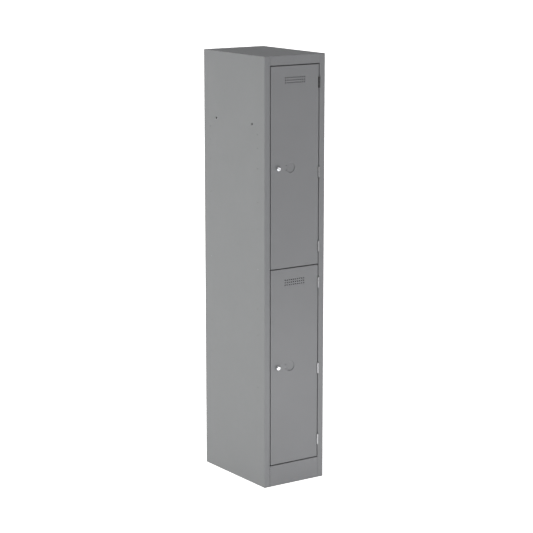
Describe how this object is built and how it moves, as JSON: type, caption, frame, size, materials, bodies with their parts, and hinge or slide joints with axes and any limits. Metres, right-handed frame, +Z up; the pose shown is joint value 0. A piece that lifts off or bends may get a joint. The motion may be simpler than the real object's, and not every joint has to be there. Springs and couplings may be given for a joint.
{
  "type": "locker cabinet",
  "caption": "Tall narrow steel locker cabinet with stacked hinged doors, cam locks, vent holes and coat hooks on a plinth base.",
  "frame": {"origin": "on the floor, at the middle of the overall footprint, lock heads included", "axes": "+Z up, the doors face -Y, +X to the viewer's right, which is the hinge side"},
  "size_m": [0.3, 0.46, 1.8],
  "materials": {
    "painted_sheet": "fine satin powder coat, mid grey",
    "lock_chrome": "polished chrome plate",
    "hinge_steel": "bright drawn steel",
    "zinc_steel": "zinc plated",
    "rubber_buffer": "matt black"
  },
  "bodies": {
    "root": {"left_side_panel": "painted_sheet", "right_side_panel": "painted_sheet", "back_panel": "painted_sheet", "top_panel": "painted_sheet", "plinth_panel": "painted_sheet", "bottom_shelf": "painted_sheet", "middle_shelf": "painted_sheet", "shelf_rivet_left_front": "zinc_steel", "shelf_rivet_right_front": "zinc_steel", "shelf_rivet_left_rear": "zinc_steel", "shelf_rivet_right_rear": "zinc_steel", "lower_buffer_bottom": "rubber_buffer", "lower_buffer_top": "rubber_buffer", "lower_coat_hook": "zinc_steel", "lower_hinge_top_frame_leaf": "hinge_steel", "lower_hinge_top_pin": "hinge_steel", "lower_hinge_middle_frame_leaf": "hinge_steel", "lower_hinge_middle_pin": "hinge_steel", "lower_hinge_bottom_frame_leaf": "hinge_steel", "lower_hinge_bottom_pin": "hinge_steel", "upper_buffer_bottom": "rubber_buffer", "upper_buffer_top": "rubber_buffer", "upper_coat_hook": "zinc_steel", "upper_hinge_top_frame_leaf": "hinge_steel", "upper_hinge_top_pin": "hinge_steel", "upper_hinge_middle_frame_leaf": "hinge_steel", "upper_hinge_middle_pin": "hinge_steel", "upper_hinge_bottom_frame_leaf": "hinge_steel", "upper_hinge_bottom_pin": "hinge_steel"},
    "lower_door": {"lower_door_pan": "painted_sheet", "lower_door_stiffener": "painted_sheet", "lower_hinge_top_door_leaf": "hinge_steel", "lower_hinge_middle_door_leaf": "hinge_steel", "lower_hinge_bottom_door_leaf": "hinge_steel", "lower_lock_body": "lock_chrome", "lower_lock_nut": "zinc_steel"},
    "lower_lock_turn": {"lower_lock_plug": "lock_chrome", "lower_lock_cam": "zinc_steel", "lower_cam_screw": "zinc_steel"},
    "upper_door": {"upper_door_pan": "painted_sheet", "upper_door_stiffener": "painted_sheet", "upper_hinge_top_door_leaf": "hinge_steel", "upper_hinge_middle_door_leaf": "hinge_steel", "upper_hinge_bottom_door_leaf": "hinge_steel", "upper_lock_body": "lock_chrome", "upper_lock_nut": "zinc_steel"},
    "upper_lock_turn": {"upper_lock_plug": "lock_chrome", "upper_lock_cam": "zinc_steel", "upper_cam_screw": "zinc_steel"}
  },
  "joints": [
    {"name": "lower_door_hinge", "type": "hinge", "parent": "root", "child": "lower_door", "pos_m": [0.12075, -0.22, 0.50848], "axis": [0, 0, 1], "range_deg": [0, 170]},
    {"name": "lower_lock_turn", "type": "hinge", "parent": "lower_door", "child": "lower_lock_turn", "pos_m": [-0.0845, -0.22, 0.50848], "axis": [0, 1, 0], "range_deg": [0, 90]},
    {"name": "upper_door_hinge", "type": "hinge", "parent": "root", "child": "upper_door", "pos_m": [0.12075, -0.22, 1.34272], "axis": [0, 0, 1], "range_deg": [0, 170]},
    {"name": "upper_lock_turn", "type": "hinge", "parent": "upper_door", "child": "upper_lock_turn", "pos_m": [-0.0845, -0.22, 1.34272], "axis": [0, 1, 0], "range_deg": [0, 90]}
  ]
}
